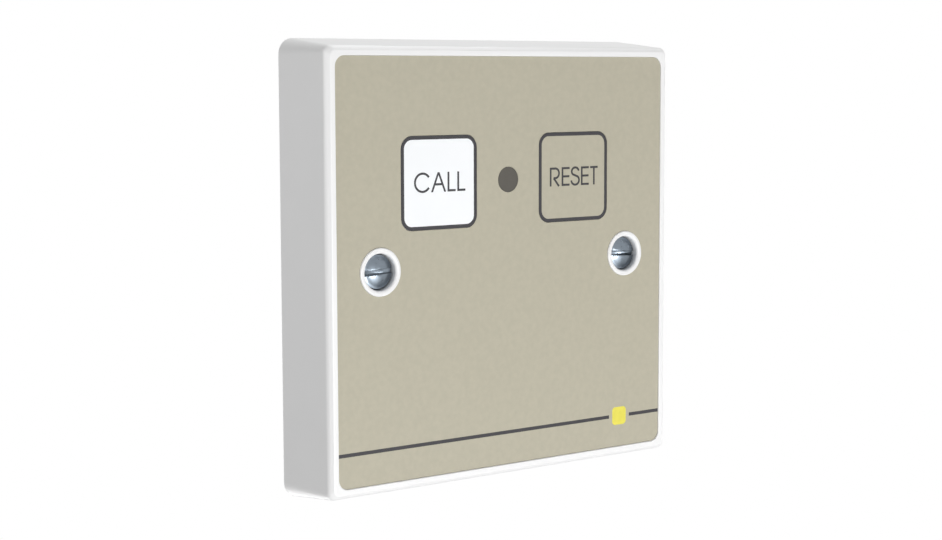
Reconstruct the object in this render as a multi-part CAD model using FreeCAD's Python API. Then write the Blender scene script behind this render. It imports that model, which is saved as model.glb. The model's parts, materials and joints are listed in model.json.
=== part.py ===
import FreeCAD, Part
import math
import os

# Call point: a square moulded wall plate with a printed label, a call key and a reset key,
# and a circuit board behind them.
# X runs to the right, Y into the wall and Z up. The origin is midway between the two fixing
# screws, in the plane of the wall. All sizes are in millimetres.

# Plate
fixing_spacing = 60.3          # between the two fixing screws
front_side = 81.66             # outside, at the front rim
bevel_inset = 0.82             # how far the front rim lies inside the shoulder
bevel_depth = 0.82             # from the front rim to the shoulder
flare = 1.45                   # how far each side spreads from the shoulder to the wall
depth = 14.0                   # from the wall to the front rim
front_corner_radius = 1.2
shoulder_corner_radius = 1.4
back_corner_radius = 3.0
inside_corner_radius = 1.0
front_edge_radius = 0.4
shoulder_radius = 1.5          # blend between the bevel and the skirt
rim_width = 1.05               # from the front edge to the label's pocket
rim_lip_radius = 0.2           # inner edge of the front rim
skirt_wall = 2.0
face_wall = 2.0                # thickness behind the label

# Label
label_corner_radius = 2.0
label_thickness = 0.25
label_sink = 0.3               # label's face below the front rim
label_clearance = 0.04         # round the label, its collars and its cut-outs
ink_depth = 0.06               # printed fields are inlaid flush
rule_height = 0.7
rule_rise = 6.28               # middle of the rule above the label's lower edge
accent_side = 3.7
accent_corner_radius = 0.8
accent_inset = 10.78           # middle of the accent from the label's right edge
accent_gap = 0.85              # bare label between the accent and each end of the rule

# Fixing screws, and the collars and pillars round them
screw_diameter = 3.5           # over the thread
screw_shank_diameter = 3.1     # plain, in front of the thread
screw_length = 25.0
screw_runout = 0.2             # chamfer where the thread starts
screw_point = 0.6              # chamfer at the tip
screw_head_diameter = 6.5
screw_head_height = 2.6
screw_head_edge = 0.12
screw_shoulder = 0.3           # flat ring round the head's dome
screw_dome_rise = 0.85
screw_slot_width = 0.9
screw_slot_depth = 1.3
screw_sink = 0.35              # top of the head below the front rim
screw_head_clearance = 0.2     # round the head in its bore
screw_clearance = 0.25         # round the shank
left_slot_angle = 3.0
right_slot_angle = -4.0
collar_wall = 1.1
collar_outer_edge = 0.25
collar_bore_edge = 0.55
pillar_wall = 1.35
pillar_setback = 0.2           # pillar's end before the wall plane
pillar_rib = 1.2

# Keys
key_gap = 15.4                 # between the two keys
key_rise = 7.3                 # lower edge of the keys above the fixing screws' line
key_width = 17.6
key_height = 17.6
key_corner_radius = 2.4
key_clearance = 0.08
key_travel = 0.35
key_border = 0.68              # printed outline on the key's face
key_face_wall = 1.5
key_skirt_wall = 1.2
key_flange = 1.0
key_flange_reach = 1.0
key_plunger_diameter = 3.4
key_rib = 0.9
key_rib_depth = 1.2

# Indicator
lens_diameter = 4.85
lens_clearance = 0.06
lens_flange = 0.9
lens_flange_reach = 0.8
lens_wall = 0.8                # round the hollow behind its face
lens_hollow_depth = 1.6
led_diameter = 3.0
led_rim_reach = 0.4
led_rim = 1.0
led_gap = 0.3                  # between the indicator lens and the lamp's tip
led_lead_pitch = 2.54
led_lead = 0.5

# Circuit board
board_thickness = 1.6
board_corner_radius = 1.5
board_pillar_gap = 0.8         # between the board's edges and the pillars
board_drop = 28.5              # board's lower edge below the fixing screws' line
board_hole_inset = 3.0
board_hole_clearance = 0.2     # round each board screw
post_diameter = 5.0
post_key_gap = 0.5             # between the upper posts and the keys' flanges
switch_gap = 1.6               # between a pressed key's flange and its switch
lead_past_board = 1.4
lead_clearance = 0.12          # round each lead in its hole

# Board screws
board_screw_diameter = 2.2
board_screw_length = 6.0
board_screw_head_diameter = 4.2
board_screw_head_height = 1.4
board_screw_cross = 2.6
board_screw_cross_width = 0.6
board_screw_cross_depth = 0.7
board_screw_fit = 0.02
pilot_past_screw = 0.5

# Switches under the keys
switch_side = 6.0
switch_body_height = 3.5
switch_cover = 0.3
switch_floor = 1.7
switch_well_diameter = 5.0
stem_diameter = 3.5
stem_clearance = 0.1
stem_proud = 0.8               # top of the stem above the switch's cover
stem_foot_clearance = 0.2      # round the stem's foot in the well
stem_foot = 0.7
stem_nub_diameter = 1.2
dome_side_gap = 0.3            # round the dome in the well
dome_thickness = 0.1
dome_clearance = 0.02
rivet_diameter = 0.8
rivet_inset = 0.75
switch_leg_width = 0.7
switch_leg_thickness = 0.3
switch_leg_row = 4.5           # between the two legs on one side
switch_leg_rise = 0.9          # where a leg leaves the body, above the board

# Terminal block
terminal_ways = 4
terminal_pitch = 5.0
terminal_height = 10.0         # off the back of the board
terminal_deep = 8.2
terminal_rise = 6.9            # its wire side above the board's lower edge
terminal_chamfer = 2.0
terminal_end_wall = 0.4
terminal_web = 1.2             # plastic between two clamps
terminal_mouth = 0.9           # plastic in front of each clamp
clamp_height = 5.0
clamp_length = 5.2
clamp_wall = 0.6
clamp_floor = 1.4              # plastic below each clamp
clamp_clearance = 0.05
wire_entry_lip = 0.4           # the entry is narrower than the clamp by this, each side
wire_entry_height = 3.4
terminal_screw_diameter = 2.6
terminal_screw_head_lip = 0.1  # the head is narrower than the clamp by this, each side
terminal_screw_head_height = 1.3
terminal_screw_slot = 0.6
terminal_screw_slot_depth = 0.7
terminal_screw_reach = 1.3     # how far the shank stands inside the clamp
terminal_screw_fit = 0.02
terminal_pin = 1.0
terminal_pin_plate = 0.5

# Parts on the back of the board, placed from the fixing screws' line and the middle
chip_length = 8.7
chip_width = 3.9
chip_height = 1.5
chip_stand = 0.15
chip_z = -1.0
chip_legs_a_side = 7
chip_leg_pitch = 1.27
chip_leg_width = 0.42
chip_leg_thickness = 0.2
chip_leg_reach = 1.05
chip_notch_diameter = 0.9
chip_notch_depth = 0.2
capacitor_diameter = 6.3
capacitor_height = 7.0
capacitor_x = -15.5
capacitor_z = -2.5
capacitor_edge = 0.6
capacitor_neck = 0.25
capacitor_neck_height = 1.0    # groove's height over the board
capacitor_lead_pitch = 2.5
capacitor_lead = 0.6
resistor_length = 3.2
resistor_width = 1.6
resistor_height = 0.6
resistor_cap = 0.5
resistor_count = 5
resistor_pitch = 3.2
resistor_x = 5.5               # middle of the first of the row
resistor_z = -8.0
diode_length = 4.3
diode_width = 2.6
diode_height = 2.1
diode_tab = 0.5
diode_tab_width = 1.4
diode_tab_thickness = 0.25
diode_count = 2
diode_pitch = 4.6
diode_x = 14.5
diode_z = 0.0

# Planes, along Y
front_y = -depth
shoulder_y = front_y + bevel_depth
label_y = front_y + label_sink
floor_y = label_y + label_thickness
inner_y = floor_y + face_wall
flange_y = inner_y + key_flange
key_under_y = label_y + key_face_wall
seat_y = front_y + screw_sink + screw_head_height
switch_top_y = flange_y + key_travel + switch_gap
stem_top_y = switch_top_y - stem_proud
board_front_y = switch_top_y + switch_body_height
board_back_y = board_front_y + board_thickness
lead_back_y = board_back_y + lead_past_board
lead_front_y = board_front_y - lead_past_board
lens_back_y = inner_y + lens_flange

# Sizes and places that several pieces share
shoulder_side = front_side + 2 * bevel_inset
back_side = shoulder_side + 2 * flare
pocket_side = front_side - 2 * rim_width
pocket_corner_radius = label_corner_radius + label_clearance
label_side = pocket_side - 2 * label_clearance
rule_z = rule_rise - label_side / 2
accent_x = label_side / 2 - accent_inset
fixing_x = (-fixing_spacing / 2, fixing_spacing / 2)
collar_bore = screw_head_diameter + 2 * screw_head_clearance
collar_diameter = collar_bore + 2 * collar_wall
pillar_diameter = collar_bore + 2 * pillar_wall
key_x = (key_gap + key_width) / 2
key_z = key_rise + key_height / 2
key_places = {"call": -key_x, "reset": key_x}
post_x = fixing_spacing / 2 - pillar_diameter / 2 - board_pillar_gap - board_hole_inset
upper_post_z = key_rise + key_height + key_flange_reach + post_key_gap + post_diameter / 2
lower_post_z = board_hole_inset - board_drop
post_places = [(side * post_x, z) for side in (-1, 1) for z in (lower_post_z, upper_post_z)]
board_width = 2 * (post_x + board_hole_inset)
board_height = upper_post_z + board_hole_inset + board_drop
board_z = board_height / 2 - board_drop
switch_leg_places = [
    (side * (switch_side + switch_leg_thickness) / 2, row * switch_leg_row / 2)
    for side in (-1, 1)
    for row in (-1, 1)
]
terminal_z = terminal_rise + terminal_deep / 2 - board_drop
terminal_places = [
    (way - (terminal_ways - 1) / 2) * terminal_pitch for way in range(terminal_ways)
]
clamp_width = terminal_pitch - terminal_web
clamp_z = terminal_z - terminal_deep / 2 + terminal_mouth + clamp_length / 2
clamp_y = board_back_y + clamp_floor
clamp_top_y = clamp_y + clamp_height
terminal_screw_head_diameter = clamp_width - 2 * terminal_screw_head_lip
contact_width = clamp_width - 2 * clamp_wall
hair = 0.01                    # overrun of a cutting tool past a face


def vec(x, y, z):
    return FreeCAD.Vector(x, y, z)


def slab(x0, x1, y0, y1, z0, z1):
    """A box between two corners."""
    return Part.makeBox(x1 - x0, y1 - y0, z1 - z0, vec(x0, y0, z0))


def block(width, height, y0, y1, x=0.0, z=0.0):
    """A box centred on (x, z), from y0 to y1."""
    return slab(x - width / 2, x + width / 2, y0, y1, z - height / 2, z + height / 2)


def rod(diameter, y0, y1, x=0.0, z=0.0):
    """A cylinder along Y, from y0 to y1."""
    return Part.makeCylinder(diameter / 2, y1 - y0, vec(x, y0, z), vec(0, 1, 0))


def rounded_outline(width, height, radius, y, x=0.0, z=0.0):
    """A closed wire in the plane of that y: a rectangle with round corners."""
    quarter = math.radians(90)
    arcs = []
    for corner, (side, up) in enumerate(((1, 1), (-1, 1), (-1, -1), (1, -1))):
        centre = vec(x + side * (width / 2 - radius), y, z + up * (height / 2 - radius))
        angles = [(corner + step) * quarter for step in (0.0, 0.5, 1.0)]
        arcs.append([centre + vec(math.cos(a), 0, math.sin(a)) * radius for a in angles])
    edges = []
    for arc, following in zip(arcs, arcs[1:] + arcs[:1]):
        edges.append(Part.Arc(*arc).toShape())
        edges.append(Part.LineSegment(arc[-1], following[0]).toShape())
    return Part.Wire(edges)


def rounded_block(width, height, radius, y0, y1, x=0.0, z=0.0):
    """A prism along Y with round corners, from y0 to y1."""
    face = Part.Face(rounded_outline(width, height, radius, y0, x, z))
    return face.extrude(vec(0, y1 - y0, 0))


def domed_rod(diameter, y_base, y_edge, y_apex, x=0.0, z=0.0):
    """A cylinder from y_base to y_edge with a spherical end that rises to y_apex."""
    radius = diameter / 2
    rise = y_edge - y_apex
    sphere = (radius ** 2 + rise ** 2) / (2 * rise)
    half = math.asin(radius / sphere) / 2
    centre = vec(x, y_apex + sphere, z)
    base, corner = vec(x, y_base, z), vec(x + radius, y_base, z)
    edge, apex = vec(x + radius, y_edge, z), vec(x, y_apex, z)
    middle = centre + vec(math.sin(half), -math.cos(half), 0) * sphere
    outline = [
        Part.LineSegment(base, corner).toShape(),
        Part.LineSegment(corner, edge).toShape(),
        Part.Arc(edge, middle, apex).toShape(),
        Part.LineSegment(apex, base).toShape(),
    ]
    return Part.Face(Part.Wire(outline)).revolve(centre, vec(0, 1, 0), 360)


def fused(shapes):
    """One solid from several that meet."""
    return shapes[0].multiFuse(shapes[1:]).removeSplitter()


def circle(diameter, y, x=0.0, z=0.0):
    """A circle in the plane of that y."""
    return Part.makeCircle(diameter / 2, vec(x, y, z), vec(0, 1, 0))


def edges_on(shape, outline):
    """A shape's edges that run along an outline."""
    found = []
    for edge in shape.Edges:
        points = [vertex.Point for vertex in edge.Vertexes]
        points.append(edge.valueAt((edge.FirstParameter + edge.LastParameter) / 2))
        if all(outline.distToShape(Part.Vertex(point))[0] < hair / 2 for point in points):
            found.append(edge)
    return found


def skirt_side(y):
    """Outside width of the skirt at a depth."""
    return back_side + (shoulder_side - back_side) * y / shoulder_y


def outer_solid():
    """The outside: a skirt that spreads to the wall, and a bevel in front of its shoulder."""
    front = rounded_outline(front_side, front_side, front_corner_radius, front_y)
    shoulder = rounded_outline(shoulder_side, shoulder_side, shoulder_corner_radius, shoulder_y)
    back = rounded_outline(back_side, back_side, back_corner_radius, 0.0)
    solid = Part.makeLoft([front, shoulder, back], True, True)
    solid = solid.makeFillet(shoulder_radius, edges_on(solid, shoulder))
    return solid.makeFillet(front_edge_radius, edges_on(solid, front))


def inner_hollow():
    wires = []
    for y in (inner_y, hair):
        side = skirt_side(y) - 2 * skirt_wall
        wires.append(rounded_outline(side, side, inside_corner_radius, y))
    return Part.makeLoft(wires, True, True)


def label_pocket():
    """What the label's pocket takes from the plate, with the two collars left standing."""
    pocket = rounded_block(
        pocket_side, pocket_side, pocket_corner_radius, front_y - hair, floor_y
    )
    return pocket.cut([rod(collar_diameter, front_y - 2 * hair, floor_y + hair, x) for x in fixing_x])


def key_prism(x, grown, y0, y1):
    """A key's outline, grown all round, as a prism."""
    width, height = key_width + 2 * grown, key_height + 2 * grown
    return rounded_block(width, height, key_corner_radius + grown, y0, y1, x, key_z)


def pillars():
    """A pillar round each fixing screw, with a rib out to the skirt."""
    start = inner_y - face_wall / 2
    shapes = []
    for x in fixing_x:
        shapes.append(rod(pillar_diameter, start, -pillar_setback, x))
        ends = sorted((x, math.copysign((skirt_side(start) - skirt_wall) / 2, x)))
        shapes.append(
            slab(*ends, start, -pillar_setback - pillar_rib, -pillar_rib / 2, pillar_rib / 2)
        )
    return shapes


def posts():
    """The four posts that carry the circuit board."""
    start = inner_y - face_wall / 2
    return [rod(post_diameter, start, board_front_y, x, z) for x, z in post_places]


def plate_holes():
    """The screws' bores, the keys' and the lens's openings, and the posts' pilot holes."""
    cuts = []
    for x in fixing_x:
        cuts.append(rod(collar_bore, front_y - hair, seat_y, x))
        cuts.append(rod(screw_diameter + 2 * screw_clearance, seat_y - hair, hair, x))
    for x in key_places.values():
        cuts.append(key_prism(x, key_clearance, floor_y - hair, inner_y + hair))
    cuts.append(lens_opening())
    pilot_y = board_back_y - board_screw_length - pilot_past_screw
    for x, z in post_places:
        pilot = board_screw_diameter + 2 * board_screw_fit
        cuts.append(rod(pilot, pilot_y, board_front_y + hair, x, z))
    return cuts


def lens_opening():
    return rod(lens_diameter + 2 * lens_clearance, label_y - hair, inner_y + hair, 0, key_z)


def front_plate():
    shell = outer_solid().cut([inner_hollow(), label_pocket()])
    shell = fused([shell] + pillars() + posts()).cut(plate_holes())
    lip = rounded_outline(pocket_side, pocket_side, pocket_corner_radius, front_y)
    shell = shell.makeFillet(rim_lip_radius, edges_on(shell, lip))
    for x in fixing_x:
        bore, outer = circle(collar_bore, front_y, x), circle(collar_diameter, front_y, x)
        shell = shell.makeFillet(collar_bore_edge, edges_on(shell, bore))
        shell = shell.makeFillet(collar_outer_edge, edges_on(shell, outer))
    return shell


def rule_lines():
    """The printed rule, broken round the accent."""
    half = label_side / 2
    gap = accent_side / 2 + accent_gap
    low, high = rule_z - rule_height / 2, rule_z + rule_height / 2
    back = label_y + ink_depth
    return [
        slab(-half, accent_x - gap, label_y, back, low, high),
        slab(accent_x + gap, half, label_y, back, low, high),
    ]


def accent_mark():
    return rounded_block(
        accent_side, accent_side, accent_corner_radius, label_y, label_y + ink_depth,
        accent_x, rule_z,
    )


def overlay_label():
    film = rounded_block(label_side, label_side, label_corner_radius, label_y, floor_y)
    cuts = rule_lines() + [accent_mark(), lens_opening()]
    for x in fixing_x:
        hole = collar_diameter + 2 * label_clearance
        cuts.append(rod(hole, label_y - hair, floor_y + hair, x))
    for x in key_places.values():
        cuts.append(key_prism(x, key_clearance, label_y - hair, floor_y + hair))
    return film.cut(cuts)


def key_border_ring(x):
    """The printed outline round a key's face."""
    back = label_y + ink_depth
    ring = key_prism(x, 0.0, label_y, back)
    return ring.cut(key_prism(x, -key_border, label_y - hair, back + hair))


def key_cap(x):
    """A moulded cap: face, skirt, retaining flange, plunger and crossed ribs."""
    cap = fused(
        [key_prism(x, 0.0, label_y, flange_y), key_prism(x, key_flange_reach, inner_y, flange_y)]
    )
    cap = cap.cut(key_prism(x, -key_skirt_wall, key_under_y, flange_y + hair))
    start = key_under_y - key_face_wall / 2
    rib_back = key_under_y + key_rib_depth
    inside = [
        rod(key_plunger_diameter, start, stem_top_y, x, key_z),
        block(key_width - key_skirt_wall, key_rib, start, rib_back, x, key_z),
        block(key_rib, key_height - key_skirt_wall, start, rib_back, x, key_z),
    ]
    return fused([cap] + inside).cut(key_border_ring(x))


def indicator_lens():
    flange = lens_diameter + 2 * lens_flange_reach
    hollow = lens_diameter - 2 * lens_wall
    lens = fused(
        [rod(lens_diameter, label_y, lens_back_y, 0, key_z), rod(flange, inner_y, lens_back_y, 0, key_z)]
    )
    return lens.cut(rod(hollow, lens_back_y - lens_hollow_depth, lens_back_y + hair, 0, key_z))


def status_led():
    apex = lens_back_y + led_gap
    rim = led_diameter + 2 * led_rim_reach
    return fused(
        [
            domed_rod(led_diameter, board_front_y, apex + led_diameter / 2, apex, 0, key_z),
            rod(rim, board_front_y - led_rim, board_front_y, 0, key_z),
        ]
    )


def led_leads():
    return [
        block(led_lead, led_lead, board_front_y, lead_back_y, side * led_lead_pitch / 2, key_z)
        for side in (-1, 1)
    ]


def lead_holes():
    """Every lead hole through the board, as (x, z, diameter)."""
    leg = math.hypot(switch_leg_width, switch_leg_thickness) + 2 * lead_clearance
    holes = [
        (x + dx, key_z + dz, leg) for x in key_places.values() for dx, dz in switch_leg_places
    ]
    for side in (-1, 1):
        lamp = math.hypot(led_lead, led_lead) + 2 * lead_clearance
        holes.append((side * led_lead_pitch / 2, key_z, lamp))
        can_x = capacitor_x + side * capacitor_lead_pitch / 2
        holes.append((can_x, capacitor_z, capacitor_lead + 2 * lead_clearance))
    pin = math.hypot(terminal_pin, terminal_pin) + 2 * lead_clearance
    holes.extend((x, terminal_z, pin) for x in terminal_places)
    return holes


def circuit_board():
    board = rounded_block(
        board_width, board_height, board_corner_radius, board_front_y, board_back_y, 0, board_z
    )
    screw_hole = board_screw_diameter + 2 * board_hole_clearance
    holes = lead_holes() + [(x, z, screw_hole) for x, z in post_places]
    front, back = board_front_y - hair, board_back_y + hair
    return board.cut([rod(size, front, back, x, z) for x, z, size in holes])


def rivets(x, y0, y1):
    """The four studs that hold a switch's cover."""
    at = switch_side / 2 - rivet_inset
    return [rod(rivet_diameter, y0, y1, x + dx, key_z + dz) for dx in (-at, at) for dz in (-at, at)]


def switch_base(x):
    """The switch's body, with the well for its dome, and the rivets that hold its cover."""
    cover_y = switch_top_y + switch_cover
    base = block(switch_side, switch_side, cover_y, board_front_y, x, key_z)
    well = rod(switch_well_diameter, cover_y - hair, board_front_y - switch_floor, x, key_z)
    return fused([base] + rivets(x, switch_top_y, cover_y + switch_cover)).cut(well)


def switch_cover_plate(x):
    cover_y = switch_top_y + switch_cover
    plate = block(switch_side, switch_side, switch_top_y, cover_y, x, key_z)
    mouth = rod(
        stem_diameter + 2 * stem_clearance, switch_top_y - hair, cover_y + hair, x, key_z
    )
    return plate.cut(rivets(x, switch_top_y - hair, cover_y + hair) + [mouth])


def dome_top_y():
    """The contact dome closes on the floor of its well at the end of the key's travel."""
    return board_front_y - switch_floor - dome_thickness - key_travel


def switch_stem(x):
    """The stem, its foot under the cover, and the nub that meets the dome."""
    foot_y = switch_top_y + switch_cover
    foot = switch_well_diameter - 2 * stem_foot_clearance
    return fused(
        [
            rod(stem_diameter, stem_top_y, foot_y + stem_foot / 2, x, key_z),
            rod(foot, foot_y, foot_y + stem_foot, x, key_z),
            rod(stem_nub_diameter, foot_y + stem_foot / 2, dome_top_y() - dome_clearance, x, key_z),
        ]
    )


def switch_dome(x):
    """The sprung contact: a shallow spherical shell on the floor of the well."""
    floor = board_front_y - switch_floor
    diameter = switch_well_diameter - 2 * dome_side_gap
    outer = domed_rod(diameter, floor, floor - hair, dome_top_y(), x, key_z)
    inner = domed_rod(
        diameter - 2 * dome_thickness, floor + hair, floor, dome_top_y() + dome_thickness, x, key_z
    )
    return outer.cut(inner)


def switch_legs(x):
    start = board_front_y - switch_leg_rise
    return [
        block(switch_leg_thickness, switch_leg_width, start, lead_back_y, x + dx, key_z + dz)
        for dx, dz in switch_leg_places
    ]


def terminal_cavity(x):
    """Where one clamp sits, with its wire entry, its screw's way in and its pin's slot."""
    gap = 2 * clamp_clearance
    room_top = clamp_top_y + clamp_clearance
    entry_width = clamp_width - 2 * wire_entry_lip
    entry_y = (clamp_y + clamp_top_y - wire_entry_height) / 2
    mouth_z = terminal_z - terminal_deep / 2
    top = board_back_y + terminal_height
    return [
        block(clamp_width + gap, clamp_length + gap, clamp_y, room_top, x, clamp_z),
        slab(
            x - entry_width / 2, x + entry_width / 2, entry_y, entry_y + wire_entry_height,
            mouth_z - hair, clamp_z,
        ),
        rod(terminal_screw_head_diameter + gap, clamp_top_y, top + hair, x, clamp_z),
        block(
            terminal_pin + gap, terminal_pin + gap, board_back_y - hair, clamp_y + hair,
            x, terminal_z,
        ),
    ]


def terminal_body():
    width = terminal_ways * terminal_pitch + 2 * terminal_end_wall
    top = board_back_y + terminal_height
    body = block(width, terminal_deep, board_back_y, top, 0, terminal_z)
    far_z = terminal_z + terminal_deep / 2
    sloped = Part.makeLine(vec(-width / 2, top, far_z), vec(width / 2, top, far_z))
    body = body.makeChamfer(terminal_chamfer, edges_on(body, sloped))
    for x in terminal_places:
        body = body.cut(terminal_cavity(x))
    return body


def terminal_clamp(x):
    """A metal cage with a tapped hole for its screw, open below over the contact plate."""
    cage = block(clamp_width, clamp_length, clamp_y, clamp_top_y, x, clamp_z)
    tunnel = block(
        contact_width + 2 * clamp_clearance, clamp_length + 2 * hair,
        clamp_y - hair, clamp_top_y - 2 * clamp_wall, x, clamp_z,
    )
    thread = terminal_screw_diameter + 2 * terminal_screw_fit
    tapped = rod(thread, clamp_y, clamp_top_y + hair, x, clamp_z)
    return cage.cut([tunnel, tapped])


def terminal_screw(x):
    head_top = clamp_top_y + terminal_screw_head_height
    head = rod(terminal_screw_head_diameter, clamp_top_y, head_top, x, clamp_z)
    shank_end = clamp_top_y - 2 * clamp_wall - terminal_screw_reach
    shank = rod(terminal_screw_diameter, shank_end, head_top - terminal_screw_slot_depth, x, clamp_z)
    slot = block(
        2 * terminal_screw_head_diameter, terminal_screw_slot,
        head_top - terminal_screw_slot_depth, head_top + hair, x, clamp_z,
    )
    return fused([head, shank]).cut(slot)


def terminal_contact(x):
    """A contact plate under the wire, with its pin down through the board."""
    plate_top = clamp_y + terminal_pin_plate
    plate = block(contact_width, clamp_length, clamp_y, plate_top, x, clamp_z)
    pin = block(terminal_pin, terminal_pin, lead_front_y, plate_top, x, terminal_z)
    return fused([plate, pin])


def controller_chip():
    low = board_back_y + chip_stand
    top = low + chip_height
    body = block(chip_length, chip_width, low, top, 0, chip_z)
    notch = rod(chip_notch_diameter, top - chip_notch_depth, top + hair, -chip_length / 2, chip_z)
    return body.cut(notch)


def controller_legs():
    """Gull-wing legs: out of the body, down, and a foot on the board."""
    middle = board_back_y + chip_stand + chip_height / 2
    top = middle + chip_leg_thickness / 2
    foot_top = board_back_y + chip_leg_thickness
    legs = []
    for side in (-1, 1):
        wall = chip_z + side * chip_width / 2
        bend = wall + side * chip_leg_reach / 2
        inner_bend = bend - side * chip_leg_thickness
        toe = wall + side * chip_leg_reach
        for leg in range(chip_legs_a_side):
            x = (leg - (chip_legs_a_side - 1) / 2) * chip_leg_pitch
            x0, x1 = x - chip_leg_width / 2, x + chip_leg_width / 2
            legs.append(
                fused(
                    [
                        slab(x0, x1, top - chip_leg_thickness, top, *sorted((wall, bend))),
                        slab(x0, x1, board_back_y, top, *sorted((inner_bend, bend))),
                        slab(x0, x1, board_back_y, foot_top, *sorted((inner_bend, toe))),
                    ]
                )
            )
    return legs


def reservoir_capacitor():
    """A standing can with a rolled groove near the board and a rounded top edge."""
    radius = capacitor_diameter / 2
    low, top = board_back_y, board_back_y + capacitor_height
    groove = low + capacitor_neck_height
    profile = [
        (0, low),
        (radius, low),
        (radius, groove - capacitor_neck),
        (radius - capacitor_neck, groove),
        (radius, groove + capacitor_neck),
        (radius, top),
        (0, top),
    ]
    points = [vec(capacitor_x + r, y, capacitor_z) for r, y in profile]
    face = Part.Face(Part.makePolygon(points + points[:1]))
    can = face.revolve(points[0], vec(0, 1, 0), 360)
    rim = circle(capacitor_diameter, top, capacitor_x, capacitor_z)
    return can.makeFillet(capacitor_edge, edges_on(can, rim))


def capacitor_leads():
    offset = capacitor_lead_pitch / 2
    return [
        rod(capacitor_lead, lead_front_y, board_back_y, capacitor_x + dx, capacitor_z)
        for dx in (-offset, offset)
    ]


def resistor_places():
    return [resistor_x + n * resistor_pitch for n in range(resistor_count)]


def resistor_bodies():
    length = resistor_length - 2 * resistor_cap
    top = board_back_y + resistor_height
    return [
        block(resistor_width, length, board_back_y, top, x, resistor_z) for x in resistor_places()
    ]


def resistor_ends():
    at = (resistor_length - resistor_cap) / 2
    top = board_back_y + resistor_height
    return [
        block(resistor_width, resistor_cap, board_back_y, top, x, resistor_z + dz)
        for x in resistor_places()
        for dz in (-at, at)
    ]


def diode_places():
    return [diode_x + n * diode_pitch for n in range(diode_count)]


def diode_bodies():
    top = board_back_y + diode_height
    return [
        block(diode_width, diode_length, board_back_y, top, x, diode_z) for x in diode_places()
    ]


def diode_tabs():
    at = (diode_length + diode_tab) / 2
    top = board_back_y + diode_tab_thickness
    return [
        block(diode_tab_width, diode_tab, board_back_y, top, x, diode_z + dz)
        for x in diode_places()
        for dz in (-at, at)
    ]


def board_screws():
    """Cross-headed self-tapping screws through the board into the posts."""
    top = board_back_y + board_screw_head_height
    cross_y = top - board_screw_cross_depth
    screws = []
    for x, z in post_places:
        screw = fused(
            [
                rod(board_screw_head_diameter, board_back_y, top, x, z),
                rod(board_screw_diameter, board_back_y - board_screw_length, cross_y, x, z),
            ]
        )
        cross = [
            block(board_screw_cross, board_screw_cross_width, cross_y, top + hair, x, z),
            block(board_screw_cross_width, board_screw_cross, cross_y, top + hair, x, z),
        ]
        screws.append(screw.cut(cross))
    return screws


def fixing_screw(x, angle):
    """A machine screw with a domed, slotted head, its slot turned by angle, a plain shank and
    a thread of full diameter from the plane of the wall on."""
    apex = front_y + screw_sink
    tip = seat_y + screw_length
    slot_floor = apex + screw_slot_depth
    ring_y = apex + screw_dome_rise
    head = rod(screw_head_diameter, ring_y, seat_y, x)
    head = head.makeFillet(screw_head_edge, edges_on(head, circle(screw_head_diameter, ring_y, x)))
    dome = domed_rod(screw_head_diameter - 2 * screw_shoulder, seat_y, ring_y, apex, x)
    shank = rod(screw_shank_diameter, slot_floor, hair, x)
    thread = rod(screw_diameter, -screw_runout, tip, x)
    for y, size in ((-screw_runout, screw_runout), (tip, screw_point)):
        thread = thread.makeChamfer(size, edges_on(thread, circle(screw_diameter, y, x)))
    slot = block(2 * screw_head_diameter, screw_slot_width, apex - hair, slot_floor, x)
    slot.rotate(vec(x, 0, 0), vec(0, 1, 0), -angle)
    return fused([head, dome, shank, thread]).cut(slot)


def build():
    """Every node's name and its solid or solids."""
    nodes = {
        "front_plate": front_plate(),
        "overlay_label": overlay_label(),
        "label_rule": rule_lines(),
        "label_accent": accent_mark(),
        "indicator_lens": indicator_lens(),
        "status_led": status_led(),
        "status_led_leads": led_leads(),
        "circuit_board": circuit_board(),
        "terminal_body": terminal_body(),
        "terminal_clamps": [terminal_clamp(x) for x in terminal_places],
        "terminal_screws": [terminal_screw(x) for x in terminal_places],
        "terminal_contacts": [terminal_contact(x) for x in terminal_places],
        "controller_chip": controller_chip(),
        "controller_legs": controller_legs(),
        "reservoir_capacitor": reservoir_capacitor(),
        "capacitor_leads": capacitor_leads(),
        "resistor_bodies": resistor_bodies(),
        "resistor_ends": resistor_ends(),
        "diode_bodies": diode_bodies(),
        "diode_tabs": diode_tabs(),
        "board_screws": board_screws(),
        "fixing_screw_left": fixing_screw(fixing_x[0], left_slot_angle),
        "fixing_screw_right": fixing_screw(fixing_x[1], right_slot_angle),
    }
    for name, x in key_places.items():
        nodes[name + "_key"] = key_cap(x)
        nodes[name + "_key_border"] = key_border_ring(x)
        nodes[name + "_switch_base"] = switch_base(x)
        nodes[name + "_switch_cover"] = switch_cover_plate(x)
        nodes[name + "_switch_stem"] = switch_stem(x)
        nodes[name + "_switch_dome"] = switch_dome(x)
        nodes[name + "_switch_legs"] = switch_legs(x)
    return nodes


def export(nodes):
    os.makedirs("parts", exist_ok=True)
    for name, shape in nodes.items():
        pieces = shape if isinstance(shape, list) else [shape]
        solids = [solid for piece in pieces for solid in piece.Solids]
        whole = solids[0] if len(solids) == 1 else Part.makeCompound(solids)
        if not whole.isValid() or whole.Volume <= 0:
            raise ValueError(name + " is not a valid solid")
        whole.exportStep("parts/" + name + ".step")
        print(name, len(solids), round(whole.Volume, 3))


export(build())
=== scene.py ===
"""A call point with call and reset keys: its finishes, its print, its screws and its board."""
import json
import math

import bmesh
import bpy
from mathutils import Matrix, Vector


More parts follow.
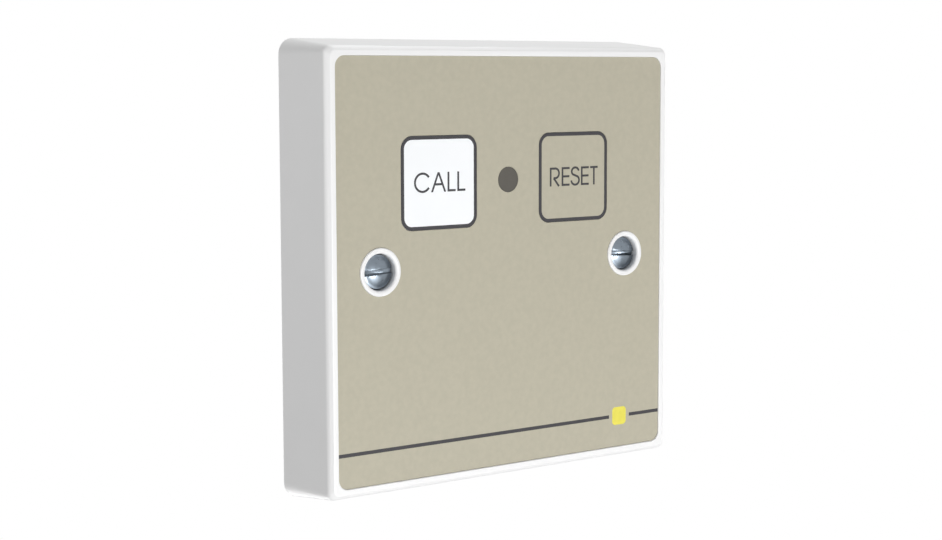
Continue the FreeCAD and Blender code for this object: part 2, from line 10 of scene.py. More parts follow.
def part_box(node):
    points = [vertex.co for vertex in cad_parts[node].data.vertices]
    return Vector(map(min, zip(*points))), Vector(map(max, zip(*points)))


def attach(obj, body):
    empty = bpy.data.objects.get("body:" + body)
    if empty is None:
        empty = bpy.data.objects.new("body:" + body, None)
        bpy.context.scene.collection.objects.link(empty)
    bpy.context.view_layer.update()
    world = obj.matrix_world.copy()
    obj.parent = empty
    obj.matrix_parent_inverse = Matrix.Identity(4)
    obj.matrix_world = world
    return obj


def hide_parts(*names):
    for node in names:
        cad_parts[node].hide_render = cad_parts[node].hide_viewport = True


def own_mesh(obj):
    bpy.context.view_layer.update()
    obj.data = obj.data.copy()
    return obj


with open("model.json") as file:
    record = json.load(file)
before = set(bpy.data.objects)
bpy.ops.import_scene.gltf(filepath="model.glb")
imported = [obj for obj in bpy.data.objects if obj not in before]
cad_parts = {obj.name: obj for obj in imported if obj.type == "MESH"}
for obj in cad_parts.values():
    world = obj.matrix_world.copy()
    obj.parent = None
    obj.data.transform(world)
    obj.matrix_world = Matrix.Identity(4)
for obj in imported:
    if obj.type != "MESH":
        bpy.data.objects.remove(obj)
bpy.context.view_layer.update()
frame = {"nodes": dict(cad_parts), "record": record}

MM = 0.001                     # the frame is in metres, and sizes below are in millimetres
WELD = 0.001                   # points of a CAD shape closer than this are joined
SHARP_ANGLE = 35.0             # degrees between two faces from which their edge is sharp

# Camera, fitted to the plate's edges and screws in the photograph
CAMERA_PLACE = (-224.08, -296.99, 35.60)
CAMERA_AZIMUTH = 37.193        # degrees to the right of straight at the wall
CAMERA_DIP = 5.866
CAMERA_ROLL = 0.167
CAMERA_LENS = 71.337
SENSOR_WIDTH = 36.0

# Finishes: display colours from 0 to 255, and what else surface() takes
FINISHES = {
    "white_moulding": dict(
        color=(240, 240, 240), roughness=0.32, tint=0.006, gloss=0.03, gloss_scale=200,
    ),
    "label_film": dict(
        color=(181, 176, 158), roughness=0.5, tint_scale=900, grain=0.003, grain_scale=5200, gloss=0.05,
        Specular_IOR_Level=0.3,
    ),
    "white_key": dict(color=(245, 247, 249), roughness=0.5, tint=0.008, grain=0.003, grain_scale=5200),
    "slate_ink": dict(
        color=(65, 64, 67), roughness=0.5, tint=0.05, tint_scale=900, grain=0.002, grain_scale=5200,
        Specular_IOR_Level=0.25,
    ),
    "yellow_ink": dict(
        color=(229, 219, 92), roughness=0.5, tint=0.04, tint_scale=900, grain=0.002, grain_scale=5200,
        Specular_IOR_Level=0.3,
    ),
    "smoked_lens": dict(
        color=(88, 85, 79), roughness=0.42, tint=0.04, tint_scale=800, grain=0.002,
        Specular_IOR_Level=0.3,
    ),
    "zinc_screw": dict(
        color=(124, 133, 142), roughness=0.33, metallic=1.0, tint=0.08, tint_scale=700, grain=0.0012,
        grain_scale=900, gloss_scale=1500,
    ),
    "plated_steel": dict(
        color=(196, 196, 194), roughness=0.28, metallic=1.0, tint=0.05, grain=0.002, grain_scale=1500,
        gloss=0.08,
    ),
    "spring_steel": dict(color=(200, 196, 186), roughness=0.25, metallic=1.0),
    "tinned_metal": dict(
        color=(204, 204, 206), roughness=0.35, metallic=1.0, tint=0.08, tint_scale=900, grain=0.004,
        grain_scale=1200,
    ),
    "solder": dict(
        color=(190, 192, 196), roughness=0.3, metallic=1.0, tint=0.1, tint_scale=1500, grain=0.01,
        grain_scale=900,
    ),
    "terminal_moulding": dict(
        color=(52, 122, 74), roughness=0.42, tint=0.05, grain=0.004, grain_scale=2200,
    ),
    "black_moulding": dict(color=(34, 34, 35), roughness=0.45, tint=0.1, grain=0.003, grain_scale=2500),
    "black_epoxy": dict(
        color=(38, 38, 39), roughness=0.62, tint=0.12, tint_scale=1500, grain=0.006, grain_scale=3800,
    ),
    "lamp_body": dict(color=(176, 44, 38), roughness=0.2, tint=0.04),
    "silkscreen": dict(
        color=(228, 228, 220), roughness=0.6, tint=0.05, tint_scale=2000, grain=0.003, grain_scale=4000,
    ),
    "masked_track": dict(
        color=(52, 124, 74), roughness=0.3, tint=0.06, tint_scale=600, grain=0.003, grain_scale=1500,
    ),
    "board_laminate": dict(
        color=(28, 92, 50), roughness=0.3, tint=0.1, tint_scale=300, grain=0.004, grain_scale=900,
    ),
    "capacitor_sleeve": dict(color=(30, 34, 52), roughness=0.28, tint=0.06, tint_scale=400),
}
SHARED_FINISHES = {"beige_key": "label_film"}
NOISE_LOW = 0.3                # noise mostly lies in this range
NOISE_HIGH = 0.7
LAMINATE_DARK = (150, 146, 96)
LAMINATE_LIGHT = (188, 182, 130)
FIBRE_SCALE = 2500.0           # bumps a metre
FIBRE_STRETCH = (1.0, 8.0, 1.0)
STRIPE_COLOR = (176, 180, 190)
STRIPE_SHARE = 0.2             # of the capacitor's width that its pale stripe takes

# Sockets of a Mix node for colours, whose names also belong to its sockets for numbers
MIX_FACTOR, MIX_FIRST, MIX_SECOND = 0, 6, 7
MIX_RESULT = 2

# Printed words: strokes along the middle of each line, from the middle of the key
STROKE = 0.42
INK_RISE = 0.02                # print stands this proud of the face
INK_SINK = 0.03
CAP_TOP = 1.73
CAP_FOOT = -1.57
CAP_MIDDLE = (CAP_TOP + CAP_FOOT) / 2
ROUND_OVERSHOOT = 0.06
ARC_STEP = 6.0                 # degrees

# Fixing screws: each keeps its modelled head and shank as far as the cut
SCREW_CUT = -1.0
HEAD_SHARP_ANGLE = 30.0
THREAD_SHARP_ANGLE = 25.0
THREAD_LAP = 0.3               # the threaded piece starts this far inside the plain shank
THREAD_START = -0.2
THREAD_RADIUS = 1.75
THREAD_PITCH = 0.6
THREAD_DEPTH = 0.36
THREAD_ROWS_A_TURN = 10
THREAD_SIDES = 36
THREAD_CREST = 0.12            # flat share of the pitch at the crest
THREAD_TAPER = 0.9             # how fast the thread rises at its start and falls at its tip

# Circuit board
TRACK_WIDTH = 0.5
TRACK_RISE = 0.035
SILK_WIDTH = 0.2
SILK_RISE = 0.02
SILK_MARGIN = 0.5              # between a part and the outline printed round it
PAD_MARGIN = 0.25              # beyond the ends of a foot, and half of it beyond its sides
PAD_RISE = 0.06
BOARD_SINK = 0.02              # what lies on the board reaches this far into it
END_REACH = 0.02               # points this near the end of a lead or foot give its outline
SOLDER_SIDES = 20
SOLDER_PROFILE = (             # radius and height over the board
    (0.95, 0.0), (0.66, 0.14), (0.5, 0.36), (0.42, 0.65), (0.36, 1.0),
)
SOLDERED = {                   # leads by where they come out of the board: 1 is its back
    1: ("call_switch_legs", "reset_switch_legs", "status_led_leads"),
    -1: ("capacitor_leads", "terminal_contacts"),
}

# Rows of the legs, feet and pins that the board's tracks join
LEG_ROW = 13.85                # switches
LAMP_ROW = 16.1
CHIP_TOP = 1.6
CHIP_FOOT = -3.7
RESISTOR_TOP = -6.65
RESISTOR_FOOT = -9.35
PIN_ROW = -17.5                # terminals

# A track from each switch to the chip: down, over at 45 degrees and down again
LEG_REACH = 3.15               # from the middle of the switch to its leg
SWITCH_BEND = 12.0
CHIP_REACH = 3.81              # from the middle of the chip to its outermost feet

# The other tracks, as (x, z) points from part to part
TRACKS = (
    ((-1.27, LAMP_ROW), (-1.27, CHIP_TOP)),
    ((1.27, LAMP_ROW), (1.27, CHIP_TOP)),
    ((-3.81, CHIP_FOOT), (-3.81, -10.0), (-7.5, -13.69), (-7.5, PIN_ROW)),
    ((-2.54, CHIP_FOOT), (-2.54, PIN_ROW)),
    ((1.27, CHIP_FOOT), (1.27, -11.0), (2.5, -12.23), (2.5, PIN_ROW)),
    ((2.54, CHIP_FOOT), (2.54, -5.0), (4.19, RESISTOR_TOP), (5.5, RESISTOR_TOP)),
    ((5.5, RESISTOR_FOOT), (5.5, -11.0), (7.5, -13.0), (7.5, PIN_ROW)),
    (
        (8.7, RESISTOR_FOOT), (8.7, -10.6), (9.2, -11.1),
        (11.4, -11.1), (11.9, -10.6), (11.9, RESISTOR_FOOT),
    ),
    ((11.9, RESISTOR_TOP), (11.9, -5.2), (14.5, -2.6)),
    ((15.1, RESISTOR_TOP), (19.1, -2.65)),
    ((19.1, 2.6), (19.1, 13.3), (19.65, LEG_ROW)),
    ((-19.65, LEG_ROW), (-19.65, -11.0), (-16.0, -14.65), (-12.0, -14.65)),
)

# Lamps: place and size in millimetres, and watts
LAMPS = {
    "front": ((0, -690, -170), (200, 200), 3.15),
    "left": ((-400, -30, 120), (260, 260), 0.47),
    "top": ((220, 140, 540), (400, 400), 1.72),
    "low": ((100, -380, -220), (240, 240), 0.32),
    "back": ((-40, 540, -330), (400, 400), 2.2),
}
AMBIENT = 0.2                  # share of the white studio that lights the part

# Floor: low enough to stay under the camera in a view from below
FLOOR_DROP = 450.0
FLOOR_RADIUS = 1500.0
FLOOR_FADE_START = 500.0
FLOOR_FADE_END = 1100.0
FLOOR_SIDES = 96
FLOOR_COLOR = (240, 240, 240)
FLOOR_ROUGHNESS = 0.9


def linear(red, green, blue):
    """A display colour, 0 to 255, as linear light."""
    channels = []
    for value in (red, green, blue):
        share = value / 255
        low = share <= 0.04045
        channels.append(share / 12.92 if low else ((share + 0.055) / 1.055) ** 2.4)
    return (*channels, 1.0)


# Materials

def noise(tree, scale, detail=2.0, stretch=(1.0, 1.0, 1.0)):
    """A noise in the frame's own coordinates: its scale is in bumps a metre."""
    place = tree.nodes.new("ShaderNodeTexCoord")
    mapping = tree.nodes.new("ShaderNodeMapping")
    mapping.inputs["Scale"].default_value = stretch
    texture = tree.nodes.new("ShaderNodeTexNoise")
    texture.inputs["Scale"].default_value = scale
    texture.inputs["Detail"].default_value = detail
    tree.links.new(place.outputs["Object"], mapping.inputs["Vector"])
    tree.links.new(mapping.outputs["Vector"], texture.inputs["Vector"])
    return texture.outputs["Fac"]


def between(tree, factor, low, high):
    """A number that goes from low to high over the range where noise mostly lies."""
    node = tree.nodes.new("ShaderNodeMapRange")
    node.inputs["From Min"].default_value = NOISE_LOW
    node.inputs["From Max"].default_value = NOISE_HIGH
    node.inputs["To Min"].default_value = low
    node.inputs["To Max"].default_value = high
    tree.links.new(factor, node.inputs["Value"])
    return node.outputs["Result"]


def mixed(tree, factor, first, second):
    """A colour from the first to the second, each of them a colour or a node's output."""
    node = tree.nodes.new("ShaderNodeMix")
    node.data_type = "RGBA"
    for socket, value in ((node.inputs[MIX_FIRST], first), (node.inputs[MIX_SECOND], second)):
        if isinstance(value, tuple):
            socket.default_value = value
        else:
            tree.links.new(value, socket)
    tree.links.new(factor, node.inputs[MIX_FACTOR])
    return node.outputs[MIX_RESULT]


def surface(name, color, roughness, metallic=0.0, tint=0.03, tint_scale=120.0, grain=0.0,
            grain_scale=3000.0, gloss=0.06, gloss_scale=500.0, **sockets):
    """A moulded, printed or plated finish: tint varies its colour, grain is the height of its
    fine texture in millimetres, and gloss varies its roughness. Scales are in bumps a metre."""
    material = bpy.data.materials.new(name)
    material.use_nodes = True
    tree = material.node_tree
    shader = tree.nodes["Principled BSDF"]
    channels = linear(*color)[:3]
    dark = tuple(c * (1 - tint) for c in channels) + (1.0,)
    light = tuple(min(1.0, c * (1 + tint)) for c in channels) + (1.0,)
    shade = mixed(tree, between(tree, noise(tree, tint_scale, detail=3.0), 0.0, 1.0), dark, light)
    tree.links.new(shade, shader.inputs["Base Color"])
    rough = between(tree, noise(tree, gloss_scale), roughness - gloss, roughness + gloss)
    tree.links.new(rough, shader.inputs["Roughness"])
    shader.inputs["Metallic"].default_value = metallic
    if grain:
        bump = tree.nodes.new("ShaderNodeBump")
        bump.inputs["Strength"].default_value = 1.0
        bump.inputs["Distance"].default_value = grain * MM
        tree.links.new(noise(tree, grain_scale), bump.inputs["Height"])
        tree.links.new(bump.outputs["Normal"], shader.inputs["Normal"])
    for socket, value in sockets.items():
        shader.inputs[socket.replace("_", " ")].default_value = value
    return material


def bare_edges(material):
    """Keeps the board's green mask on its faces, and bares sawn laminate on its edges and in its
    holes."""
    tree = material.node_tree
    shader = tree.nodes["Principled BSDF"]
    mask = shader.inputs["Base Color"].links[0].from_socket
    geometry = tree.nodes.new("ShaderNodeNewGeometry")
    parts = tree.nodes.new("ShaderNodeSeparateXYZ")
    size = tree.nodes.new("ShaderNodeMath")
    size.operation = "ABSOLUTE"
    fibres = between(tree, noise(tree, FIBRE_SCALE, detail=3.0, stretch=FIBRE_STRETCH), 0.0, 1.0)
    edge = mixed(tree, fibres, linear(*LAMINATE_DARK), linear(*LAMINATE_LIGHT))
    tree.links.new(geometry.outputs["True Normal"], parts.inputs["Vector"])
    tree.links.new(parts.outputs["Y"], size.inputs[0])
    tree.links.new(mixed(tree, size.outputs[0], edge, mask), shader.inputs["Base Color"])


def polarity_stripe(material, low, high):
    """A pale stripe down one side of the capacitor's dark sleeve, from the corners of its box."""
    tree = material.node_tree
    shader = tree.nodes["Principled BSDF"]
    sleeve = shader.inputs["Base Color"].links[0].from_socket
    place = tree.nodes.new("ShaderNodeTexCoord")
    parts = tree.nodes.new("ShaderNodeSeparateXYZ")
    stripe = tree.nodes.new("ShaderNodeMath")
    stripe.operation = "LESS_THAN"
    stripe.inputs[1].default_value = low.x + (high.x - low.x) * STRIPE_SHARE
    tree.links.new(place.outputs["Object"], parts.inputs["Vector"])
    tree.links.new(parts.outputs["X"], stripe.inputs[0])
    striped = mixed(tree, stripe.outputs[0], sleeve, linear(*STRIPE_COLOR))
    tree.links.new(striped, shader.inputs["Base Color"])


# Meshes

def middle_of(node):
    """The middle of a node's box, in millimetres."""
    low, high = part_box(node)
    return (low + high) / 2 / MM


def add_piece(name, mesh, material, body, sharp=SHARP_ANGLE):
    """An object in the frame that moves with a body."""
    mesh.materials.clear()
    mesh.materials.append(material)
    mesh.shade_smooth()
    mesh.set_sharp_from_angle(angle=math.radians(sharp))
    piece = bpy.data.objects.new(name, mesh)
    bpy.context.scene.collection.objects.link(piece)
    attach(piece, body)
    return piece


def finished_mesh(name, shape):
    """A mesh from a bmesh, which is then freed."""
    mesh = bpy.data.meshes.new(name)
    shape.to_mesh(mesh)
    shape.free()
    return mesh


def mesh_from(name, build):
    """A mesh made by a function that fills a bmesh in millimetres."""
    shape = bmesh.new()
    build(shape)
    bmesh.ops.recalc_face_normals(shape, faces=shape.faces)
    bmesh.ops.scale(shape, vec=(MM, MM, MM), verts=shape.verts)
    return finished_mesh(name, shape)


def rails(path, width, closed=False):
    """The two edges of a strip of even width along a path of (x, z) points."""
    points = [Vector(point) for point in path]
    count = len(points)
    edges = []
    for i, point in enumerate(points):
        before = points[i - 1] if i or closed else None
        after = points[(i + 1) % count] if i < count - 1 or closed else None
        normals = []
        for start, end in ((before, point), (point, after)):
            if start is not None and end is not None:
                along = (end - start).normalized()
                normals.append(Vector((-along.y, along.x)))
        normal = (normals[0] + normals[-1]).normalized()
        reach = width / 2 / normal.dot(normals[0])
        edges.append((point + normal * reach, point - normal * reach))
    return edges


def strip(path, width):
    """The outline of a strip of even width along a path."""
    edges = rails(path, width)
    return [left for left, right in edges] + [right for left, right in reversed(edges)]


def prism(shape, outline, y0, y1):
    """A closed solid between two depths, from its outline's (x, z) points."""
    near, far = ([shape.verts.new((x, y, z)) for x, z in outline] for y in (y0, y1))
    shape.faces.new(near)
    shape.faces.new(far)
    for i in range(len(outline)):
        other = (i + 1) % len(outline)
        shape.faces.new((near[i], near[other], far[other], far[i]))


def loop(shape, path, width, y0, y1):
    """A closed strip round a path whose last point meets its first."""
    edges = rails(path, width, closed=True)
    rings = []
    for left, right in edges:
        corners = ((left, y0), (right, y0), (right, y1), (left, y1))
        rings.append([shape.verts.new((p.x, y, p.y)) for p, y in corners])
    for i, ring in enumerate(rings):
        following = rings[(i + 1) % len(rings)]
        for side in range(4):
            other = (side + 1) % 4
            shape.faces.new((ring[side], ring[other], following[other], following[side]))


def turned(shape, profile, x, z, sides):
    """A solid turned about the Y direction through (x, z), from (radius, y) points whose first
    and last lie on the axis."""
    rings = []
    for radius, y in profile:
        if radius == 0:
            rings.append([shape.verts.new((x, y, z))])
            continue
        ring = []
        for side in range(sides):
            angle = 2 * math.pi * side / sides
            point = (x + radius * math.cos(angle), y, z + radius * math.sin(angle))
            ring.append(shape.verts.new(point))
        rings.append(ring)
    for ring, following in zip(rings, rings[1:]):
        for side in range(sides):
            other = (side + 1) % sides
            if len(ring) == 1:
                shape.faces.new((ring[0], following[side], following[other]))
            elif len(following) == 1:
                shape.faces.new((ring[side], ring[other], following[0]))
            else:
                shape.faces.new((ring[side], ring[other], following[other], following[side]))


def welded(node):
    """A CAD node's shape, with its faces joined where they meet."""
    shape = bmesh.new()
    shape.from_mesh(frame["nodes"][node].data)
    bmesh.ops.remove_doubles(shape, verts=shape.verts, dist=WELD * MM)
    return shape


def united(name, meshes):
    """One closed mesh from several that overlap."""
    objects = []
    for mesh in meshes:
        helper = bpy.data.objects.new(mesh.name, mesh)
        bpy.context.scene.collection.objects.link(helper)
        objects.append(helper)
    base = objects[0]
    for other in objects[1:]:
        join = base.modifiers.new("join", "BOOLEAN")
        join.operation = "UNION"
        join.solver = "EXACT"
        join.object = other
    bpy.context.view_layer.update()
    graph = bpy.context.evaluated_depsgraph_get()
    result = bpy.data.meshes.new_from_object(base.evaluated_get(graph))
    result.name = name
    for helper in objects:
        bpy.data.objects.remove(helper)
    return result


# Print

def arc(x, z, wide, tall, start, end):
    """Points along part of an ellipse, between angles in degrees, 0 to the right."""
    steps = max(2, math.ceil(abs(end - start) / ARC_STEP))
    angles = [math.radians(start + (end - start) * i / steps) for i in range(steps + 1)]
    return [(x + wide * math.cos(a), z + tall * math.sin(a)) for a in angles]


# Each letter gives its strokes' outlines; x is the middle of its leftmost stroke.

def letter_c(x):
    wide, mouth = 1.76, 35
    tall = (CAP_TOP - CAP_FOOT) / 2 + ROUND_OVERSHOOT
    return [strip(arc(x + wide, CAP_MIDDLE, wide, tall, mouth, 360 - mouth), STROKE)]


def letter_a(x):
    width, bar, across = 3.06, -0.33, 0.43
    top, foot = CAP_TOP + STROKE / 2, CAP_FOOT - STROKE / 2
    half, apex = across / 2, x + width / 2
    legs = [
        [(base - half, foot), (base + half, foot), (apex + half, top), (apex - half, top)]
        for base in (x, x + width)
    ]
    inset = width / 2 * (bar - foot) / (top - foot)
    return legs + [strip([(x + inset, bar), (x + width - inset, bar)], STROKE)]


def letter_l(x):
    width = 1.68
    return [strip([(x, CAP_TOP + STROKE / 2), (x, CAP_FOOT), (x + width, CAP_FOOT)], STROKE)]


def letter_e(x):
    width, bar, shorter = 1.84, 0.1, 0.06
    spine = [(x + width, CAP_TOP), (x, CAP_TOP), (x, CAP_FOOT), (x + width, CAP_FOOT)]
    return [strip(spine, STROKE), strip([(x, bar), (x + width - shorter, bar)], STROKE)]


def letter_t(x):
    width = 1.98
    stem = [(x + width / 2, CAP_TOP), (x + width / 2, CAP_FOOT - STROKE / 2)]
    return [strip([(x, CAP_TOP), (x + width, CAP_TOP)], STROKE), strip(stem, STROKE)]


def letter_r(x):
    """The bowl stops short of the stem, and the leg leaves its end."""
    radius, straight, bowl_end, leg_start, leg_end = 0.95, 1.2, 0.75, 0.78, 2.14
    middle, foot = CAP_TOP - 2 * radius, CAP_FOOT - STROKE / 2
    bowl = [(x, foot), (x, CAP_TOP)]
    bowl += arc(x + straight, CAP_TOP - radius, radius, radius, 90, -90)
    bowl.append((x + bowl_end, middle))
    leg = [(x + leg_start, middle), (x + leg_end, foot)]
    return [strip(bowl, STROKE), strip(leg, STROKE)]


def letter_s(x):
    """Two open bowls joined by a slanted stroke."""
    upper_wide, upper_tall, upper_start, upper_end = 0.9, 0.78, 8, 226
    lower_wide, lower_tall, lower_start, lower_end = 1.0, 0.9, 52, -178
    middle = x + lower_wide
    upper_z = CAP_TOP + ROUND_OVERSHOOT - upper_tall
    lower_z = CAP_FOOT - ROUND_OVERSHOOT + lower_tall
    path = arc(middle, upper_z, upper_wide, upper_tall, upper_start, upper_end)
    path += arc(middle, lower_z, lower_wide, lower_tall, lower_start, lower_end)
    return [strip(path, STROKE)]


# Each word's letters, and where they start from the middle of the key
WORDS = {
    "call": ((letter_c, -5.67), (letter_a, -1.74), (letter_l, 2.1), (letter_l, 4.41)),
    "reset": (
        (letter_r, -5.85), (letter_e, -2.82), (letter_s, -0.52), (letter_e, 2.2), (letter_t, 4.4),
    ),
}


def ink_stroke(outline, face):
    """A stroke of ink that stands just proud of a face."""
    return mesh_from("stroke", lambda shape: prism(shape, outline, face - INK_RISE, face + INK_SINK))


def add_words(materials):
    """The word on each key, as ink on its face."""
    for word, letters in WORDS.items():
        key = word + "_key"
        low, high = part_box(key)
        middle = middle_of(key)
        face = low.y / MM
        strokes = []
        for letter, place in letters:
            for outline in letter(middle.x + place):
                raised = [(x, middle.z + z) for x, z in outline]
                strokes.append(ink_stroke(raised, face))
        mesh = united(word + "_word", strokes)
        piece = add_piece(word + "_word", mesh, materials["slate_ink"], key)
        piece.data.shade_flat()


# Screws

def thread_radius(y, turn, start, tip):
    """The radius of a screw's thread at a depth and a share of a turn."""
    share = ((y - start) / THREAD_PITCH - turn) % 1.0
    slope = min(1.0, abs(share - 0.5) * 2 / (1 - THREAD_CREST))
    root = THREAD_RADIUS - THREAD_DEPTH
    rising = root + max(0.0, y - THREAD_START) * THREAD_TAPER
    falling = root + (tip - y) * THREAD_TAPER
    return min(root + THREAD_DEPTH * slope, rising, falling)


def threaded_shank(x, start, tip):
    """The back of a screw, from inside its plain shank to its tip."""
    def build(shape):
        rows = round((tip - start) / THREAD_PITCH * THREAD_ROWS_A_TURN)
        rings = []
        for row in range(rows + 1):
            y = start + (tip - start) * row / rows
            ring = []
            for side in range(THREAD_SIDES):
                turn = side / THREAD_SIDES
                r = thread_radius(y, turn, start, tip)
                angle = 2 * math.pi * turn
                ring.append(shape.verts.new((x + r * math.cos(angle), y, r * math.sin(angle))))
            rings.append(ring)
        for ring, following in zip(rings, rings[1:]):
            for side in range(THREAD_SIDES):
                other = (side + 1) % THREAD_SIDES
                shape.faces.new((ring[side], ring[other], following[other], following[side]))
        shape.faces.new(rings[0])
        shape.faces.new(rings[-1])

    return mesh_from("shank", build)


def add_fixing_screws(materials):
    """Each screw keeps its modelled head and plain shank, and gets a cut thread."""
    zinc = materials["zinc_screw"]
    for side in ("left", "right"):
        node = "fixing_screw_" + side
        low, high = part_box(node)
        front = welded(node)
        cut = bmesh.ops.bisect_plane(
            front, geom=front.verts[:] + front.edges[:] + front.faces[:],
            plane_co=(0, SCREW_CUT * MM, 0), plane_no=(0, 1, 0), clear_outer=True,
        )
        rim = [item for item in cut["geom_cut"] if isinstance(item, bmesh.types.BMEdge)]
        bmesh.ops.holes_fill(front, edges=rim)
        head = finished_mesh(node + "_head", front)
        piece = add_piece(node + "_head", head, zinc, "plate", HEAD_SHARP_ANGLE)
        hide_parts(node)
        shank = threaded_shank((low.x + high.x) / 2 / MM, SCREW_CUT - THREAD_LAP, high.y / MM)
        add_piece(node + "_thread", shank, zinc, "plate", THREAD_SHARP_ANGLE)


# Switches

def add_switch_domes(materials):
    """Each contact dome as a spring-steel piece with its own copy of the mesh."""
    for switch in ("call", "reset"):
        node = switch + "_switch_dome"
        mesh = finished_mesh(node + "_spring", welded(node))
        piece = add_piece(node + "_spring", mesh, materials["spring_steel"], "plate")
        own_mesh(piece)
        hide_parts(node)


# Board

def loose_pieces(node):
    """The separate solids in a node, each as a list of points in millimetres."""
    shape = welded(node)
    found, seen = [], set()
    for first in shape.verts:
        if first in seen:
            continue
        seen.add(first)
        group = [first]
        for vert in group:
            for edge in vert.link_edges:
                other = edge.other_vert(vert)
                if other not in seen:
                    seen.add(other)
                    group.append(other)
        found.append([vert.co / MM for vert in group])
    shape.free()
    return found


def spans(points):
    """The extent of some points along X and Z, as x0, x1, z0, z1."""
    xs, zs = [p.x for p in points], [p.z for p in points]
    return min(xs), max(xs), min(zs), max(zs)


def frame_round(points, across, up):
    """A rectangle round some points, with a margin along X and one along Z."""
    x0, x1, z0, z1 = spans(points)
    left, right, foot, top = x0 - across, x1 + across, z0 - up, z1 + up
    return [(left, foot), (right, foot), (right, top), (left, top)]


def solder_cone(shape, points, face, out):
    """A cone of solder round the end of a lead that comes through a face of the board."""
    tip = max(out * p.y for p in points)
    x0, x1, z0, z1 = spans([p for p in points if out * p.y > tip - END_REACH])
    cone = [(radius, face + out * height) for radius, height in SOLDER_PROFILE]
    profile = [(0, face - out * BOARD_SINK)] + cone + [(0, cone[-1][1])]
    turned(shape, profile, (x0 + x1) / 2, (z0 + z1) / 2, SOLDER_SIDES)


def add_solder(materials, front_y, back_y):
    """Solder round the end of every lead that comes through the board."""
    def build(shape):
        for out, nodes in SOLDERED.items():
            face = back_y if out == 1 else front_y
            for node in nodes:
                for points in loose_pieces(node):
                    solder_cone(shape, points, face, out)

    add_piece("solder", mesh_from("solder", build), materials["solder"], "plate")


def add_pads(materials, back_y):
    """A tinned pad under each foot and end of the parts mounted on the surface."""
    def build(shape):
        for node in ("controller_legs", "resistor_ends", "diode_tabs"):
            for points in loose_pieces(node):
                foot = [p for p in points if p.y < back_y + END_REACH]
                outline = frame_round(foot, PAD_MARGIN / 2, PAD_MARGIN)
                prism(shape, outline, back_y - BOARD_SINK, back_y + PAD_RISE)

    add_piece("pads", mesh_from("pads", build), materials["solder"], "plate")


def switch_tracks():
    """A track from the inner leg of each switch to the chip, as (x, z) points."""
    routes = []
    for switch, side in (("call", 1), ("reset", -1)):
        leg = middle_of(switch + "_switch_base").x + side * LEG_REACH
        foot = -side * CHIP_REACH
        level = SWITCH_BEND - abs(leg - foot)
        routes.append(((leg, LEG_ROW), (leg, SWITCH_BEND), (foot, level), (foot, CHIP_TOP)))
    return routes


def add_tracks(materials, back_y):
    """The tracks on the back of the board, under its mask."""
    def build(shape):
        for route in (*switch_tracks(), *TRACKS):
            prism(shape, strip(route, TRACK_WIDTH), back_y - BOARD_SINK, back_y + TRACK_RISE)

    mesh = mesh_from("tracks", build)
    add_piece("tracks", mesh, materials["masked_track"], "plate")


def ring_round(node):
    """The circle printed round a node's place on the board."""
    low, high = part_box(node)
    middle = middle_of(node)
    radius = (high.x - low.x) / 2 / MM + SILK_MARGIN
    return arc(middle.x, middle.z, radius, radius, 0, 360)[:-1]


def box_round(node):
    """The rectangle printed round a node's place on the board."""
    low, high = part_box(node)
    return frame_round((low / MM, high / MM), SILK_MARGIN, SILK_MARGIN)


def add_silkscreen(materials, front_y, back_y):
    """Outlines printed round the parts on both faces of the board."""
    backs = [box_round("terminal_body"), box_round("controller_chip")]
    for node in ("resistor_bodies", "diode_bodies"):
        for points in loose_pieces(node):
            backs.append(frame_round(points, SILK_MARGIN, 2 * SILK_MARGIN))
    backs.append(ring_round("reservoir_capacitor"))
    fronts = [box_round("call_switch_base"), box_round("reset_switch_base"), ring_round("status_led")]

    def build(shape):
        for face, out, paths in ((back_y, 1, backs), (front_y, -1, fronts)):
            for path in paths:
                loop(shape, path, SILK_WIDTH, face - out * BOARD_SINK, face + out * SILK_RISE)

    mesh = mesh_from("silkscreen", build)
    add_piece("silkscreen", mesh, materials["silkscreen"], "plate")


def add_board_details(materials):
    """Solder, pads, tracks and print on the circuit board."""
    low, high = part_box("circuit_board")
    front_y, back_y = low.y / MM, high.y / MM
    add_solder(materials, front_y, back_y)
    add_pads(materials, back_y)
    add_tracks(materials, back_y)
    add_silkscreen(materials, front_y, back_y)


# Scene

def add_camera():
    """The photograph's camera, as it was fitted."""
    data = bpy.data.cameras.new("camera")
    data.lens = CAMERA_LENS
    data.sensor_width = SENSOR_WIDTH
    camera = bpy.data.objects.new("camera", data)
    bpy.context.scene.collection.objects.link(camera)
    camera.matrix_world = (
        Matrix.Translation(Vector(CAMERA_PLACE) * MM)
        @ Matrix.Rotation(math.radians(-CAMERA_AZIMUTH), 4, "Z")
        @ Matrix.Rotation(math.radians(90 - CAMERA_DIP), 4, "X")
        @ Matrix.Rotation(math.radians(-CAMERA_ROLL), 4, "Z")
    )
    bpy.context.scene.camera = camera


def add_lamps():
    """Soft lamps, each turned towards the part and hidden from the camera."""
    for name, (place, size, watts) in LAMPS.items():
        data = bpy.data.lights.new(name, "AREA")
        data.shape = "RECTANGLE"
        data.size, data.size_y = (side * MM for side in size)
        data.energy = watts
        lamp = bpy.data.objects.new(name, data)
        lamp.location = Vector(place) * MM
        lamp.rotation_euler = (-lamp.location).to_track_quat("-Z", "Y").to_euler()
        lamp.visible_camera = False
        bpy.context.scene.collection.objects.link(lamp)


def seen_directly(tree):
    """1 for a ray from the camera, a mirror or glass, and 0 for the light that falls on things."""
    path = tree.nodes.new("ShaderNodeLightPath")
    total = path.outputs["Is Camera Ray"]
    for kind in ("Is Glossy Ray", "Is Transmission Ray"):
        larger = tree.nodes.new("ShaderNodeMath")
        larger.operation = "MAXIMUM"
        tree.links.new(total, larger.inputs[0])
        tree.links.new(path.outputs[kind], larger.inputs[1])
        total = larger.outputs[0]
    return total


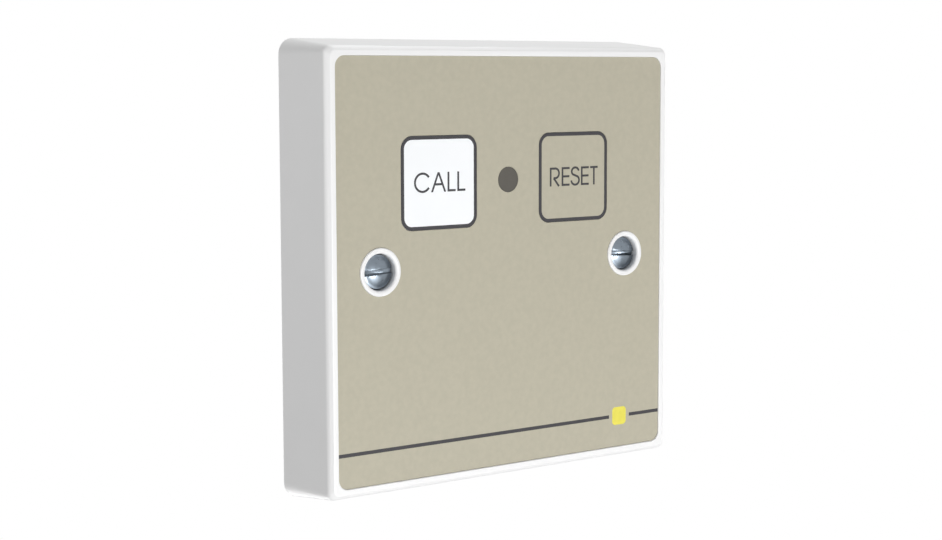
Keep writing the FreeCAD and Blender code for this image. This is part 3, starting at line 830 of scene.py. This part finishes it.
def add_world():
    """A white studio that looks fully white and lights the part only a little."""
    world = bpy.data.worlds.new("studio")
    world.use_nodes = True
    tree = world.node_tree
    background = tree.nodes["Background"]
    strength = tree.nodes.new("ShaderNodeMapRange")
    strength.inputs["To Min"].default_value = AMBIENT
    strength.inputs["To Max"].default_value = 1.0
    tree.links.new(seen_directly(tree), strength.inputs["Value"])
    tree.links.new(strength.outputs["Result"], background.inputs["Strength"])
    background.inputs["Color"].default_value = (1.0, 1.0, 1.0, 1.0)
    bpy.context.scene.world = world


def add_floor():
    """A pale disc that fades into the white studio towards its edge and keeps the shadow."""
    material = bpy.data.materials.new("floor")
    material.use_nodes = True
    tree = material.node_tree
    shader = tree.nodes["Principled BSDF"]
    shader.inputs["Base Color"].default_value = linear(*FLOOR_COLOR)
    shader.inputs["Roughness"].default_value = FLOOR_ROUGHNESS
    place = tree.nodes.new("ShaderNodeTexCoord")
    length = tree.nodes.new("ShaderNodeVectorMath")
    length.operation = "LENGTH"
    fade = tree.nodes.new("ShaderNodeMapRange")
    fade.interpolation_type = "SMOOTHSTEP"
    fade.inputs["From Min"].default_value = FLOOR_FADE_START * MM
    fade.inputs["From Max"].default_value = FLOOR_FADE_END * MM
    share = tree.nodes.new("ShaderNodeMath")
    share.operation = "MULTIPLY"
    white = tree.nodes.new("ShaderNodeEmission")
    mix = tree.nodes.new("ShaderNodeMixShader")
    tree.links.new(place.outputs["Object"], length.inputs[0])
    tree.links.new(length.outputs["Value"], fade.inputs["Value"])
    tree.links.new(fade.outputs["Result"], share.inputs[0])
    tree.links.new(seen_directly(tree), share.inputs[1])
    tree.links.new(share.outputs[0], mix.inputs[0])
    tree.links.new(shader.outputs[0], mix.inputs[1])
    tree.links.new(white.outputs[0], mix.inputs[2])
    tree.links.new(mix.outputs[0], tree.nodes["Material Output"].inputs["Surface"])
    shape = bmesh.new()
    bmesh.ops.create_circle(shape, cap_ends=True, segments=FLOOR_SIDES, radius=FLOOR_RADIUS * MM)
    mesh = finished_mesh("floor", shape)
    mesh.materials.append(material)
    floor = bpy.data.objects.new("floor", mesh)
    floor.location.z = -FLOOR_DROP * MM
    bpy.context.scene.collection.objects.link(floor)


def finish_nodes(materials):
    """Each CAD node's finish."""
    named = {part["node"]: part["material_slot"] for part in frame["record"]["subparts"]}
    for node, piece in frame["nodes"].items():
        slot = named[node]
        piece.data.materials.clear()
        piece.data.materials.append(materials[SHARED_FINISHES.get(slot, slot)])


def build_scene():
    """Finishes, pieces, camera, light and floor."""
    materials = {name: surface(name, **values) for name, values in FINISHES.items()}
    bare_edges(materials["board_laminate"])
    polarity_stripe(materials["capacitor_sleeve"], *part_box("reservoir_capacitor"))
    finish_nodes(materials)
    add_words(materials)
    add_fixing_screws(materials)
    add_switch_domes(materials)
    add_board_details(materials)
    add_camera()
    add_lamps()
    add_world()
    add_floor()
    bpy.context.scene.view_settings.view_transform = "Standard"


build_scene()
